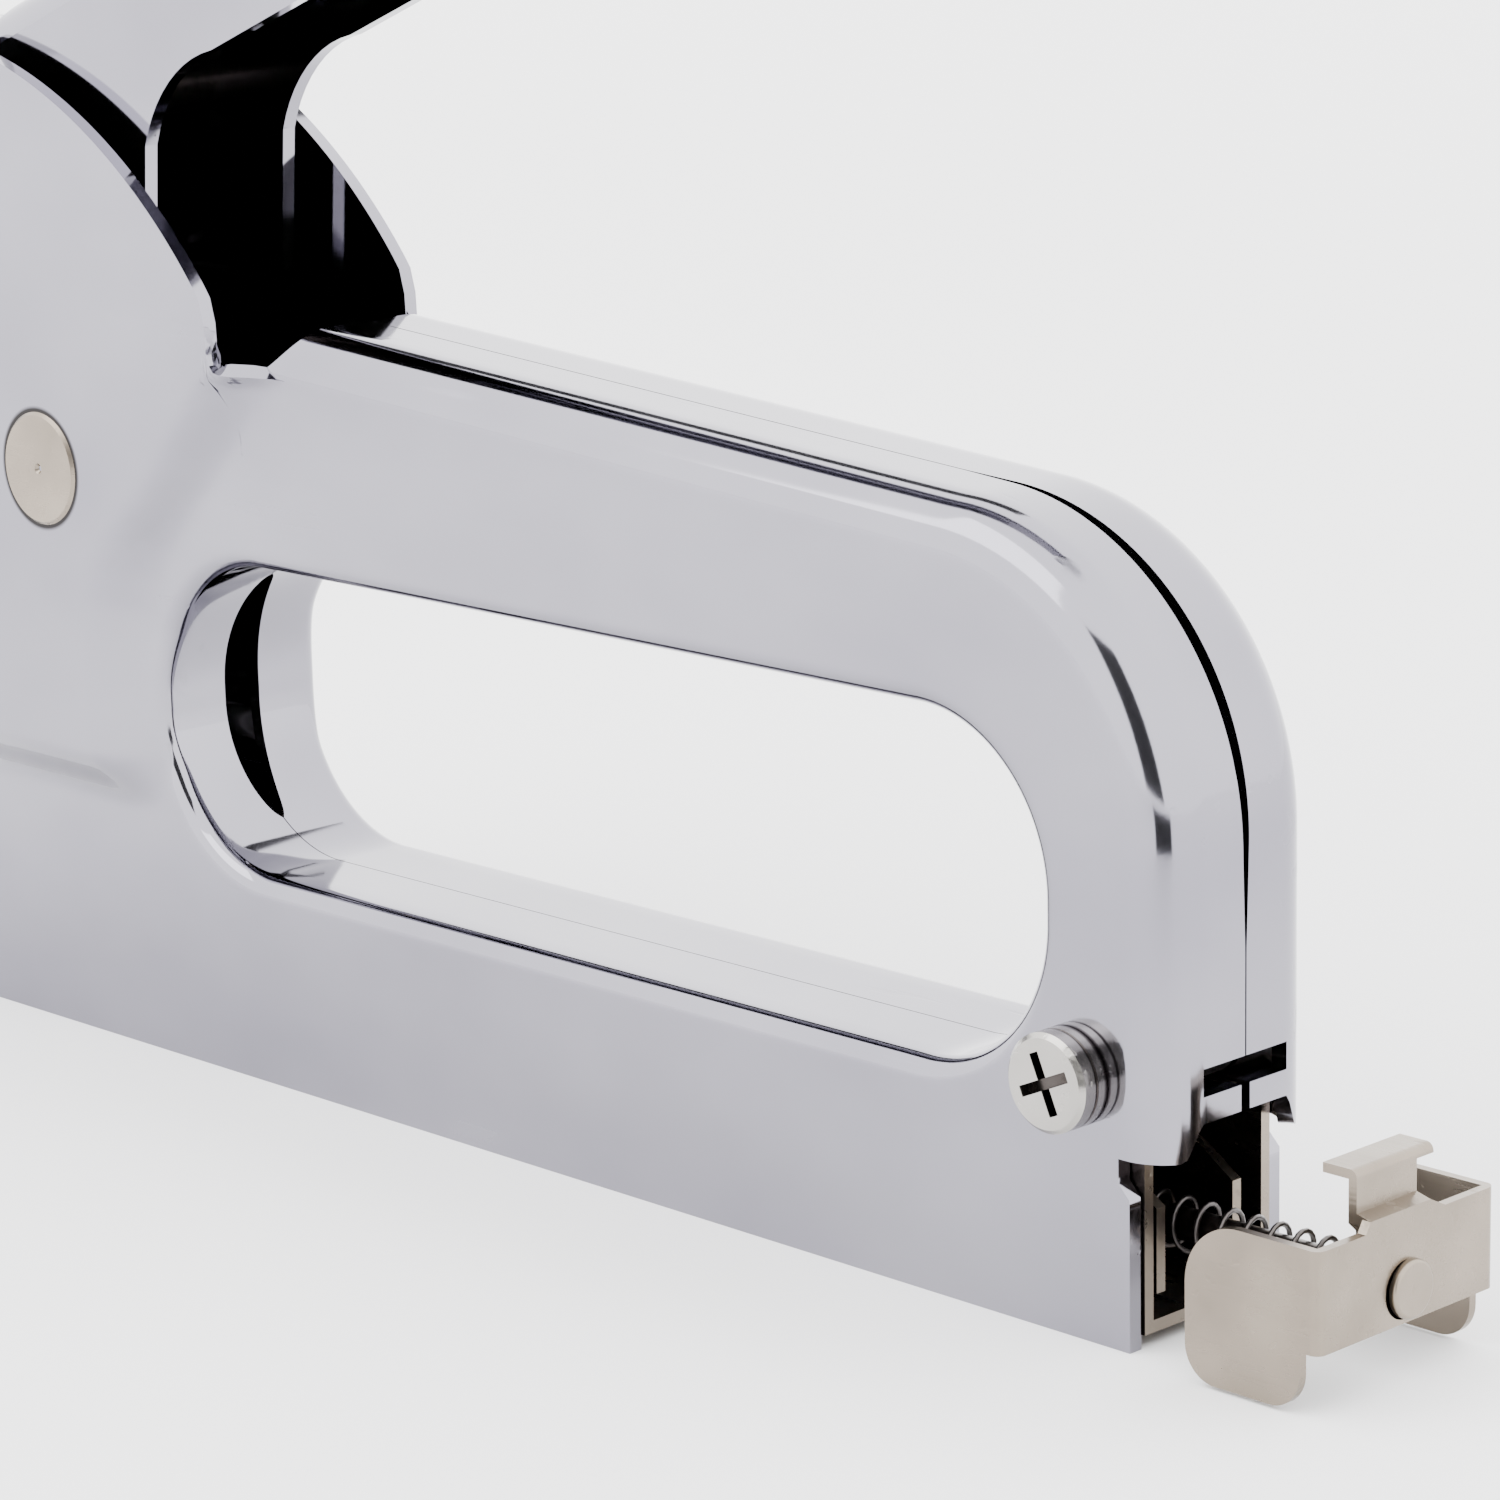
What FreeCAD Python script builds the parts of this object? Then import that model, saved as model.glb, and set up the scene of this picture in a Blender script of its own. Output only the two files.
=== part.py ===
"""Heavy-duty hand staple gun, as a parametric document of separate pieces.

Frame: +X to the rear (pusher end), +Z up, Y across, with the sole at Z = 0 and the
origin under the middle of the gun's box. Lengths are in millimetres.
"""
import FreeCAD, Part
import math
import os

import Sketcher

SIZES = (
    # housing
    ("body_length", 160.0), ("body_width", 16.0), ("shell_wall", 1.2), ("seam_gap", 0.1),
    ("bend_radius", 4.0), ("rear_overhang", 3.6), ("overhang_bottom", 13.9), ("rear_top_radius", 22.6),
    ("grip_top_rear", 57.9), ("grip_slope", 4.0), ("shoulder_back", 86.9), ("notch_width", 4.6),
    ("notch_drop", 1.4), ("notch_fall", 2.6), ("notch_radius", 3.8),
    ("dome_radius", 27.3), ("dome_start", 19.5), ("dome_end", 40.0), ("crown_radius", 50.0),
    ("flange_end_back", 129.0), ("head_width", 22.0), ("head_low", 23.0), ("head_rear_back", 107.5),
    ("head_rear_height", 43.0), ("head_neck_back", 98.5), ("head_neck_height", 49.5), ("head_edge_radius", 2.5),
    # grip opening
    ("hole_rear", 8.3), ("hole_length", 96.8), ("hole_bottom", 17.3), ("hole_height", 25.6),
    ("hole_radius", 12.0), ("hole_rim_radius", 1.6), ("hole_front_gap", 1.7), ("hole_front_gap_height", 22.0),
    # rear end of the housing
    ("slot_half_width", 4.4), ("slot_bottom", 18.4), ("slot_height", 2.0), ("tongue_bottom", 16.5),
    ("tongue_gap", 0.9), ("relief_width", 1.0), ("relief_height", 1.9), ("seam_opening", 0.42),
    ("seam_opening_front", 24.0), ("seam_opening_rear", 8.0), ("seam_opening_bottom", 34.3),
    # lever
    ("pivot_back", 116.5), ("pivot_height", 48.9), ("lever_width", 15.4), ("lever_wall", 1.2),
    ("lever_angle", 22.0), ("lever_depth", 12.5), ("lever_under_height", 80.5), ("lever_heel_back", 104.5),
    ("lever_tail", 4.0), ("lever_edge_radius", 3.0), ("lever_arm", 29.0), ("lever_arm_angle", 12.0),
    ("lever_nose_radius", 4.6), ("lever_hub_radius", 8.8), ("pivot_radius", 4.0), ("pivot_head_radius", 4.7),
    ("pivot_head_stand", 0.25), ("running_gap", 0.05), ("lift_pin_radius", 2.0), ("lift_barrel_radius", 3.4),
    # drive
    ("plunger_front_gap", 3.4), ("plunger_rear_back", 141.5), ("plunger_half_width", 6.0),
    ("plunger_below_pin", 5.7), ("plunger_above_pin", 5.2), ("notch_play", 0.35), ("notch_depth", 7.9),
    ("blade_thickness", 1.0), ("blade_half_width", 5.4), ("blade_tip", 2.0), ("front_plate_thickness", 1.0),
    ("front_plate_top", 58.0), ("spring_back", 147.0), ("spring_mean_radius", 5.2), ("spring_wire", 1.7),
    ("spring_turns", 5.0), ("spring_top", 70.5), ("cap_plate", 1.2), ("cap_block_half_width", 3.9),
    ("cap_stub_radius", 2.4), ("cap_stub_length", 7.0),
    # rivets and rear screw
    ("rivet_radius", 2.0), ("rivet_head_radius", 3.4), ("rivet_head_height", 1.0),
    ("front_rivet_back", 9.5), ("front_rivet_height", 18.2), ("top_rivet_back", 136.5),
    ("top_rivet_height", 76.0), ("screw_back", 5.5), ("screw_height", 18.9), ("screw_radius", 2.0),
    ("screw_head_radius", 3.6), ("screw_head_height", 1.5), ("washer_height", 1.1), ("cross_width", 0.8),
    ("cross_length", 4.6), ("cross_depth", 1.1), ("spacer_radius", 3.0),
    # magazine
    ("channel_wall", 0.9), ("channel_gap", 0.15), ("channel_floor", 1.0), ("channel_top", 15.6),
    ("channel_rear", 0.2), ("channel_front_gap", 4.0), ("ear_length", 10.5), ("ear_top", 22.0),
    ("core_half_width", 4.5), ("core_wall", 0.9), ("core_bottom", 3.3), ("core_top", 12.6),
    ("core_rear_back", 0.6), ("core_front_gap", 3.7), ("core_chamfer_drop", 3.1), ("core_chamfer_back", 4.6),
    ("core_foot_length", 34.0), ("staple_wire", 0.95), ("staple_leg", 9.5), ("strip_length", 38.0),
    ("slip", 0.3), ("snug", 0.05),
    # pusher
    ("latch_out", 17.86), ("latch_sheet", 0.7), ("latch_half_width", 9.5), ("latch_top", 11.9),
    ("latch_bottom", 4.6), ("wing_length", 11.6), ("wing_bottom", 0.3), ("wing_top_radius", 4.7),
    ("wing_foot_radius", 2.6), ("wing_step_back", 1.6), ("tab_left", 4.1), ("tab_right", 2.3), ("tab_jog", 1.2),
    ("tab_top", 16.0), ("lip_forward", 2.2), ("lip_right", 4.1), ("latch_hole_radius", 2.1),
    ("latch_hole_offset", 0.35), ("latch_bend_radius", 0.8), ("rod_radius", 1.2), ("rod_height", 7.0),
    ("rod_head_radius", 2.1), ("rod_head_height", 0.6), ("rod_collar_radius", 2.6),
    ("rod_collar_length", 0.8), ("eye_back", 104.5), ("eye_radius", 2.2), ("eye_thickness", 2.0), ("eye_pin_radius", 0.8),
    ("guide_length", 6.0), ("follower_length", 12.0), ("follower_lift_room", 3.4),
    ("stop_radius", 2.2), ("stop_length", 0.8), ("coil_mean_radius", 1.85), ("coil_wire", 0.4), ("coil_turns", 50.0),
)

doc = FreeCAD.newDocument("staple_gun")
sheet = doc.addObject("Spreadsheet::Sheet", "Sizes")
for row, (alias, value) in enumerate(SIZES, start=1):
    sheet.set("A%d" % row, alias)
    sheet.set("B%d" % row, str(value))
    sheet.setAlias("B%d" % row, alias)
doc.recompute()


class Size:
    """A dimension that carries both its number and its expression on the sheet."""

    def __init__(self, value, text):
        self.value, self.text = float(value), text

    @staticmethod
    def of(other):
        return other if isinstance(other, Size) else Size(other, repr(float(other)))

    def joined(self, other, sign, value, swapped=False):
        left, right = (other, self) if swapped else (self, other)
        return Size(value, "(%s %s %s)" % (left.text, sign, right.text))

    def __add__(self, other):
        other = Size.of(other)
        return self.joined(other, "+", self.value + other.value)

    def __sub__(self, other):
        other = Size.of(other)
        return self.joined(other, "-", self.value - other.value)

    def __rsub__(self, other):
        return Size.of(other) - self

    def __mul__(self, other):
        other = Size.of(other)
        return self.joined(other, "*", self.value * other.value)

    def __truediv__(self, other):
        other = Size.of(other)
        return self.joined(other, "/", self.value / other.value)

    def __neg__(self):
        return self * -1

    __radd__, __rmul__ = __add__, __mul__


def size(name):
    return Size(sheet.get(name), "Sizes." + name)


def sine(angle):
    return Size(math.sin(math.radians(angle.value)), "sin(%s)" % angle.text)


def cosine(angle):
    return Size(math.cos(math.radians(angle.value)), "cos(%s)" % angle.text)


def root(number):
    return Size(math.sqrt(number.value), "sqrt(%s)" % number.text)


PLANES = {"XY": "XY_Plane", "XZ": "XZ_Plane", "YZ": "YZ_Plane"}


def new_body(label):
    body = doc.addObject("PartDesign::Body", label)
    body.Label = label
    return body


def new_sketch(body, plane, level=0.0):
    """A sketch on one of the body's own origin planes, moved along that plane's normal."""
    sketch = body.newObject("Sketcher::SketchObject", body.Label + "_sketch")
    support = [f for f in body.Origin.OriginFeatures if f.Role == PLANES[plane]][0]
    sketch.AttachmentSupport = [(support, "")]
    sketch.MapMode = "FlatFace"
    sketch.setExpression(".AttachmentOffset.Base.z", Size.of(level).text)
    return sketch


def fix_point(sketch, geometry, point, across, up):
    """Holds one point of a curve at two dimensions from the sketch's origin."""
    for kind, amount in (("DistanceX", across), ("DistanceY", up)):
        index = sketch.addConstraint(Sketcher.Constraint(kind, -1, 1, geometry, point, amount.value))
        sketch.setExpression("Constraints[%d]" % index, amount.text)


def loop(sketch, corners):
    """Draws a closed outline, walked clockwise. A corner is (across, up), and a third value is
    the radius of the arc that leaves it: positive bulges outwards, negative inwards."""
    corners = [tuple(Size.of(v) for v in corner) for corner in corners]
    joints = []
    for start, end in zip(corners, corners[1:] + corners[:1]):
        p = FreeCAD.Vector(start[0].value, start[1].value, 0)
        q = FreeCAD.Vector(end[0].value, end[1].value, 0)
        if len(start) == 2:
            curve = sketch.addGeometry(Part.LineSegment(p, q), False)
            joints.append((curve, 1, 2))
            continue
        radius, chord = abs(start[2].value), q - p
        right = FreeCAD.Vector(chord.y, -chord.x, 0).normalize()
        rise = math.sqrt(max(radius ** 2 - chord.Length ** 2 / 4, 0.0))
        outward = start[2].value > 0
        centre = (p + q) / 2 + right * (rise if outward else -rise)
        first, last = (q, p) if outward else (p, q)
        angles = [math.atan2(v.y - centre.y, v.x - centre.x) for v in (first, last)]
        circle = Part.Circle(centre, FreeCAD.Vector(0, 0, 1), radius)
        curve = sketch.addGeometry(Part.ArcOfCircle(circle, angles[0], angles[1]), False)
        index = sketch.addConstraint(Sketcher.Constraint("Radius", curve, radius))
        sketch.setExpression("Constraints[%d]" % index, start[2].text if outward else (-start[2]).text)
        joints.append((curve, 2, 1) if outward else (curve, 1, 2))
    for (before, _, before_end), (after, after_start, _), corner in zip(
            joints[-1:] + joints[:-1], joints, corners):
        sketch.addConstraint(Sketcher.Constraint("Coincident", before, before_end, after, after_start))
        fix_point(sketch, after, after_start, corner[0], corner[1])


def box_loop(sketch, low_across, low_up, high_across, high_up):
    loop(sketch, [(low_across, low_up), (low_across, high_up), (high_across, high_up), (high_across, low_up)])


def circle(sketch, across, up, radius):
    across, up, radius = Size.of(across), Size.of(up), Size.of(radius)
    centre = FreeCAD.Vector(across.value, up.value, 0)
    ring = sketch.addGeometry(Part.Circle(centre, FreeCAD.Vector(0, 0, 1), radius.value), False)
    fix_point(sketch, ring, 3, across, up)
    index = sketch.addConstraint(Sketcher.Constraint("Radius", ring, radius.value))
    sketch.setExpression("Constraints[%d]" % index, radius.text)


def swell(body, kind, sketch, length, reverse=False, middle=False):
    """Pads or pockets a sketch by a length, and makes sure that it changed the solid."""
    before = body.Shape.Volume if not body.Shape.isNull() else 0.0
    feature = body.newObject("PartDesign::" + kind, body.Label + "_" + kind.lower())
    feature.Profile = sketch
    feature.SideType = "Symmetric" if middle else "One side"
    feature.Reversed = reverse
    feature.setExpression("Length", Size.of(length).text)
    doc.recompute()
    grown = (body.Shape.Volume - before) * (1 if kind == "Pad" else -1)
    if not feature.isValid() or grown < 1e-6:
        raise RuntimeError("%s did not change the solid" % feature.Name)
    return feature


def pad(body, sketch, length, reverse=False, middle=False):
    return swell(body, "Pad", sketch, length, reverse, middle)


def pocket(body, sketch, length, reverse=False, middle=False):
    return swell(body, "Pocket", sketch, length, reverse, middle)


def round_edges(body, radius, wanted):
    """Fillets the edges of the body whose middle point passes the test."""
    names = []
    for number, edge in enumerate(body.Shape.Edges, start=1):
        middle = edge.valueAt((edge.FirstParameter + edge.LastParameter) / 2)
        if wanted(edge, middle):
            names.append("Edge%d" % number)
    base = body.Tip
    fillet = body.newObject("PartDesign::Fillet", body.Label + "_fillet")
    fillet.Base = (base, names)
    fillet.setExpression("Radius", Size.of(radius).text)
    doc.recompute()
    if not fillet.isValid() or fillet.Shape.isNull():
        raise RuntimeError("%s failed on %s" % (fillet.Name, names))
    return fillet


def turned(label, profile, x, z, y=0.0, along="Y"):
    """A turned piece: (radius, along) corners revolved about a line across or along the gun."""
    body = new_body(label)
    sketch = new_sketch(body, "XY")
    loop(sketch, profile)
    spin = body.newObject("PartDesign::Revolution", label + "_turn")
    spin.Profile = sketch
    spin.ReferenceAxis = (sketch, ["V_Axis"])
    spin.Angle = 360
    if along == "X":
        body.Placement.Rotation = FreeCAD.Rotation(FreeCAD.Vector(0, 0, 1), -90)
    for name, value in (("x", x), ("y", y), ("z", z)):
        body.setExpression(".Placement.Base." + name, Size.of(value).text)
    doc.recompute()
    return body


# Places that several pieces share ------------------------------------------------------------

half_width = size("body_width") / 2
wall = size("shell_wall")
inner_half = half_width - wall
head_half = size("head_width") / 2
head_inner = head_half - wall
half_seam = size("seam_gap") / 2
rear_x = (size("body_length") - size("latch_out") - size("rod_head_height")) / 2
front_x = rear_x - size("body_length")
# The front rivet is set back from the front edge, and the top rivet ahead of the rear edge.
rivet_place = {"front_rivet": front_x + size("front_rivet_back"), "top_rivet": rear_x - size("top_rivet_back")}
pivot_x, pivot_z = rear_x - size("pivot_back"), size("pivot_height")
overhang_x = rear_x + size("rear_overhang")
grip_angle, rear_radius = size("grip_slope"), size("rear_top_radius")
grip_slope = sine(grip_angle) / cosine(grip_angle)


def grip_top(x):
    """Height of the grip bar's crown line at x: it falls gently to the rear."""
    return size("grip_top_rear") + (overhang_x - rear_radius - x) * grip_slope


def on_circle(x, z, radius, angle):
    return x + radius * cosine(angle), z + radius * sine(angle)


crown_x, crown_z = on_circle(*on_circle(pivot_x, pivot_z, size("dome_radius"), size("dome_end")),
                             -size("crown_radius"), size("dome_end"))
nose_radius = crown_x - front_x
nose_z = crown_z + size("crown_radius") - nose_radius
flange_end_x = rear_x - size("flange_end_back")
shoulder_x = rear_x - size("shoulder_back")
notch_x = shoulder_x - size("notch_width")
notch_z = grip_top(shoulder_x) - size("notch_drop") - size("notch_fall")


def crown_height(x, inset):
    """Height at x of the arc over the head, moved inwards by a thickness."""
    radius, across = size("crown_radius") - inset, x - crown_x
    return crown_z + root(radius * radius - across * across)


def outline(inset, grow):
    """Side outline of the housing's flanged rim, walked clockwise from the rear lower corner.
    It is moved inwards by a thickness, and outwards where the shells have no flange."""
    nose_r, rear_arc = nose_radius - inset, rear_radius - inset
    rear_cx, rear_cz = overhang_x - rear_radius, size("grip_top_rear") - rear_radius
    points = [(rear_x + grow, -grow),
              (front_x + inset, -grow),
              (front_x + inset, nose_z, nose_r),
              (crown_x, nose_z + nose_r, size("crown_radius") - inset),
              (flange_end_x, crown_height(flange_end_x, inset)),
              (flange_end_x, notch_z + grow),
              (notch_x + grow * 0.3, notch_z + grow, -size("notch_radius")),
              (shoulder_x, grip_top(shoulder_x) - inset),
              (rear_cx + rear_arc * sine(grip_angle), rear_cz + rear_arc * cosine(grip_angle), rear_arc),
              (overhang_x - inset, rear_cz),
              (overhang_x - inset, size("overhang_bottom") - grow * 2)]
    if not grow.value:
        points.append((rear_x, size("overhang_bottom")))
    return points


def head_outline(inset):
    """Side outline of the wider head, where it is flanged, moved inwards by a thickness."""
    low, nose_r = size("head_low") + inset, nose_radius - inset
    neck_x, neck_z = rear_x - size("head_neck_back"), size("head_neck_height")
    rear, rear_z = rear_x - size("head_rear_back") - inset, size("head_rear_height")
    return [(front_x + inset, low),
            (front_x + inset, nose_z, nose_r),
            (crown_x, nose_z + nose_r, size("crown_radius") - inset),
            (flange_end_x, crown_height(flange_end_x, inset)),
            (flange_end_x, notch_z),
            (notch_x - inset * 1.2, notch_z),
            (neck_x - inset * 0.6, neck_z + inset),
            (rear, rear_z + inset * 0.6),
            (rear, low)]


def cheek():
    """The bare side plate beside the lever, up to the dome, walked clockwise."""
    return [(flange_end_x, notch_z),
            (flange_end_x, crown_height(flange_end_x, Size.of(0.0)), size("crown_radius")),
            on_circle(pivot_x, pivot_z, size("dome_radius"), size("dome_end")) + (size("dome_radius"),),
            on_circle(pivot_x, pivot_z, size("dome_radius"), size("dome_start")),
            (notch_x, notch_z)]


def grip_hole(grow):
    """The grip opening, walked clockwise, grown all round by a thickness."""
    rear, low = rear_x - size("hole_rear") + grow, size("hole_bottom") - grow
    front, high = rear - size("hole_length") - grow * 2, low + size("hole_height") + grow * 2
    r = size("hole_radius") + grow
    return [(front, low + r), (front, high - r, r), (front + r, high), (rear - r, high, r),
            (rear, high - r), (rear, low + r, r), (rear - r, low), (front + r, low, r)]


def lens_radius(length, depth):
    """Radius of the arc that rises by the depth over a chord of the length."""
    return (length * length / 4 + depth * depth) / (depth * 2)


# Housing: two stamped shells that meet on the centre plane ------------------------------------


def shell(label, side):
    """One half of the housing. Side is 1 for the left (-Y) half and -1 for the right half."""
    body, left = new_body(label), side > 0
    depth = half_width - half_seam
    cut_out = {"reverse": left}

    def seam_sketch():
        return new_sketch(body, "XZ", half_seam * side)

    def carve(draw, cut_depth, *arguments):
        sketch = seam_sketch()
        draw(sketch, *arguments)
        pocket(body, sketch, cut_depth, **cut_out)

    def rim(level):
        def wanted(edge, middle):
            flat = max(abs(edge.BoundBox.YMin - level), abs(edge.BoundBox.YMax - level)) < 1e-4
            high = middle.z > pivot_z.value or middle.x > rear_x.value + 1
            front = middle.x < front_x.value + 2 and middle.z > 1 or (
                middle.x < flange_end_x.value - 0.1 and middle.z > nose_z.value)
            back = middle.x > shoulder_x.value and high and middle.z > 15
            return flat and (front or back)
        return wanted

    sketch = seam_sketch()
    loop(sketch, outline(Size.of(0.0), Size.of(0.0)))
    pad(body, sketch, depth, reverse=not left)
    sketch = seam_sketch()
    loop(sketch, head_outline(Size.of(0.0)))
    pad(body, sketch, head_half - half_seam, reverse=not left)
    round_edges(body, size("bend_radius"), rim(-side * half_width.value))
    round_edges(body, size("bend_radius"), rim(-side * head_half.value))

    sketch = seam_sketch()
    loop(sketch, outline(wall, Size.of(3.0)))
    loop(sketch, grip_hole(wall))
    pocket(body, sketch, inner_half - half_seam, **cut_out)
    carve(loop, head_inner - half_seam, head_outline(wall))
    round_edges(body, size("bend_radius") - wall, rim(-side * inner_half.value))
    round_edges(body, size("bend_radius") - wall, rim(-side * head_inner.value))
    sketch = new_sketch(body, "XZ", head_inner * side)
    loop(sketch, cheek())
    pad(body, sketch, wall, reverse=not left)

    carve(loop, half_width, grip_hole(Size.of(0.0)))
    hole_top = (size("hole_bottom") + size("hole_height")).value

    def hole_rim(edge, middle):
        flat = max(abs(edge.BoundBox.YMin + side * half_width.value),
                   abs(edge.BoundBox.YMax + side * half_width.value)) < 1e-4
        inside = rear_x.value - size("head_rear_back").value + 1 < middle.x < rear_x.value - 5
        return flat and inside and 10 < middle.z < hole_top + 1

    round_edges(body, size("hole_rim_radius"), hole_rim)

    # latch slot, the tongues below it and the clearance between them
    slot_low, low = size("slot_bottom"), size("overhang_bottom")
    inside_x, outside_x = rear_x + 1.0, overhang_x + 1.0
    carve(box_loop, size("slot_half_width"), inside_x, slot_low, outside_x, slot_low + size("slot_height"))
    carve(box_loop, size("slot_half_width"), inside_x, low - 1.0, outside_x, size("tongue_bottom"))
    carve(box_loop, size("tongue_gap") / 2, inside_x, low, outside_x, slot_low + 0.5)
    carve(box_loop, half_width, rear_x - size("relief_width"), low - size("relief_height"), rear_x + 1.0, low)

    # bores for the pivot pin, the rear screw and the two rivets
    sketch = seam_sketch()
    play = size("running_gap")
    circle(sketch, pivot_x, pivot_z, size("pivot_head_radius") + play)
    circle(sketch, rear_x - size("screw_back"), size("screw_height"), size("screw_radius") + play)
    for rivet in ("front_rivet", "top_rivet"):
        circle(sketch, rivet_place[rivet], size(rivet + "_height"), size("rivet_radius") + play)
    pocket(body, sketch, head_half, **cut_out)

    # the hole's flange falls short of the seam at the front, in a shallow arc
    spare, tall, gap = 0.2, size("hole_front_gap_height"), size("hole_front_gap") - half_seam
    middle_z = size("hole_bottom") + size("hole_height") / 2
    low_end, high_end = middle_z - tall / 2, middle_z + tall / 2
    bow = lens_radius(tall, gap + spare)
    hole_front = rear_x - size("hole_rear") - size("hole_length")
    sketch = new_sketch(body, "YZ", hole_front - wall - 0.5)
    loop(sketch, [(spare, low_end, bow), (spare, high_end)] if left
         else [(-spare, high_end, bow), (-spare, low_end)])
    pocket(body, sketch, size("hole_radius") / 2, reverse=True)

    # the seam stands open over the rear bend
    front_end, rear_end = rear_x - size("seam_opening_front"), rear_x + size("seam_opening_rear")
    bow = lens_radius(rear_end - front_end, size("seam_opening") + spare)
    sketch = new_sketch(body, "XY", size("seam_opening_bottom"))
    loop(sketch, [(rear_end, spare, bow), (front_end, spare)] if left
         else [(front_end, -spare, bow), (rear_end, -spare)])
    pocket(body, sketch, size("body_length") / 4, reverse=True)
    return body


pieces = [shell("housing_left", 1), shell("housing_right", -1)]

# Lever: a deep channel that opens downwards, with its cheeks round the pivot -------------------

lever_half, lever_wall = size("lever_width") / 2, size("lever_wall")
lever_slope = sine(size("lever_angle")) / cosine(size("lever_angle"))
heel_x = rear_x - size("lever_heel_back")
tail_x = rear_x + size("lever_tail")
lift_pin_x, lift_pin_z = on_circle(pivot_x, pivot_z, -size("lever_arm"), size("lever_arm_angle"))


def lever_under(x):
    """Height of the lever's lower edge at x."""
    return size("lever_under_height") + (x - heel_x) * lever_slope


def lever_top(x):
    return lever_under(x) + size("lever_depth") / cosine(size("lever_angle"))


def about_lift_pin(angle):
    return on_circle(lift_pin_x, lift_pin_z, size("lever_nose_radius"), Size.of(angle))


lever = new_body("lever")
sketch = new_sketch(lever, "XZ")
hub = size("lever_hub_radius")
brow_x = pivot_x - 5.5
heel_rise, heel_round = 9.0, 12.0
loop(sketch, [about_lift_pin(260) + (size("lever_nose_radius"),),
              about_lift_pin(100),
              (lift_pin_x + 5.2, lift_pin_z + 5.7),
              (pivot_x - 12.4, lever_top(brow_x) - 7.4, 20.0),
              (brow_x, lever_top(brow_x)),
              (tail_x - 5.0, lever_top(tail_x - 5.0), 6.0),
              (tail_x, lever_top(tail_x) - 6.0),
              (tail_x, lever_under(tail_x) + 3.0, 3.4),
              (tail_x - 3.4, lever_under(tail_x - 3.4)),
              (heel_x + heel_rise, lever_under(heel_x + heel_rise), -heel_round),
              (heel_x, lever_under(heel_x) - heel_rise / 2),
              (heel_x - 1.5, pivot_z + 8.3),
              (pivot_x + hub, pivot_z, hub),
              on_circle(pivot_x, pivot_z, hub, Size.of(258))])
pad(lever, sketch, size("lever_width"), middle=True)


def lever_top_rim(edge, middle):
    """Both long upper edges of the lever."""
    on_cheek = max(abs(abs(edge.BoundBox.YMin) - lever_half.value),
                   abs(edge.BoundBox.YMax - edge.BoundBox.YMin)) < 1e-4
    return on_cheek and edge.Length > 90 and middle.z > lever_top(middle.x).value - 0.5


round_edges(lever, size("lever_edge_radius"), lever_top_rim)
sketch = new_sketch(lever, "XZ")
drop = lever_wall / cosine(size("lever_angle"))
hollow_rear = tail_x - lever_wall
loop(sketch, [(front_x, lever_top(front_x) - drop - 30.0), (front_x, lever_top(front_x) - drop),
              (hollow_rear - 5.0, lever_top(hollow_rear - 5.0) - drop),
              (hollow_rear, lever_top(hollow_rear) - drop - 6.0), (hollow_rear, lever_under(hollow_rear) - 20.0),
              (pivot_x + 40.0, pivot_z - 30.0), (pivot_x, pivot_z - 30.0)])
pocket(lever, sketch, (lever_half - lever_wall) * 2, middle=True)
sketch = new_sketch(lever, "XZ")
circle(sketch, pivot_x, pivot_z, size("pivot_radius") + size("running_gap"))
circle(sketch, lift_pin_x, lift_pin_z, size("lift_pin_radius"))
pocket(lever, sketch, size("lever_width") * 2, middle=True)
pieces.append(lever)

# Pins, rivets and the rear screw, turned about lines across the gun ---------------------------


def pin_profile(half, axis_end):
    """The full profile of a piece that is alike on both sides, from the (radius, along) corners
    of its +Y half, listed from the middle outwards."""
    return ([(0.0, -axis_end), (0.0, axis_end)] + half[::-1]
            + [(radius, -along) for radius, along in half])


def ring_profile(inner, outer, low, high, bevel):
    return [(inner, low), (inner, high), (outer - bevel, high), (outer, high - bevel),
            (outer, low + bevel), (outer - bevel, low)]


head_r, head_end = size("pivot_head_radius"), head_half + size("pivot_head_stand")
dimple, bevel = 0.45, 0.25
pieces.append(turned("pivot_pin", pin_profile(
    [(size("pivot_radius"), head_inner), (head_r, head_inner), (head_r, head_end - bevel),
     (head_r - bevel, head_end), (Size.of(dimple), head_end)], head_end - dimple), pivot_x, pivot_z))

barrel_end = lever_half - lever_wall - size("snug")
pin_r, pin_end = size("lift_pin_radius"), lever_half + 0.2
pieces.append(turned("lift_pin", pin_profile(
    [(size("lift_barrel_radius"), barrel_end), (pin_r, barrel_end), (pin_r, pin_end - bevel),
     (pin_r - bevel, pin_end)], pin_end), lift_pin_x, lift_pin_z))

for name, seat in (("front_rivet", half_width), ("top_rivet", head_half)):
    rivet_head, rivet_end = size("rivet_head_radius"), seat + size("rivet_head_height")
    pieces.append(turned(name, pin_profile(
        [(size("rivet_radius"), seat), (rivet_head, seat),
         (rivet_head, seat + size("rivet_head_height") * 0.35), (rivet_head * 0.6, rivet_end)],
        rivet_end), rivet_place[name], size(name + "_height")))

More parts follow.
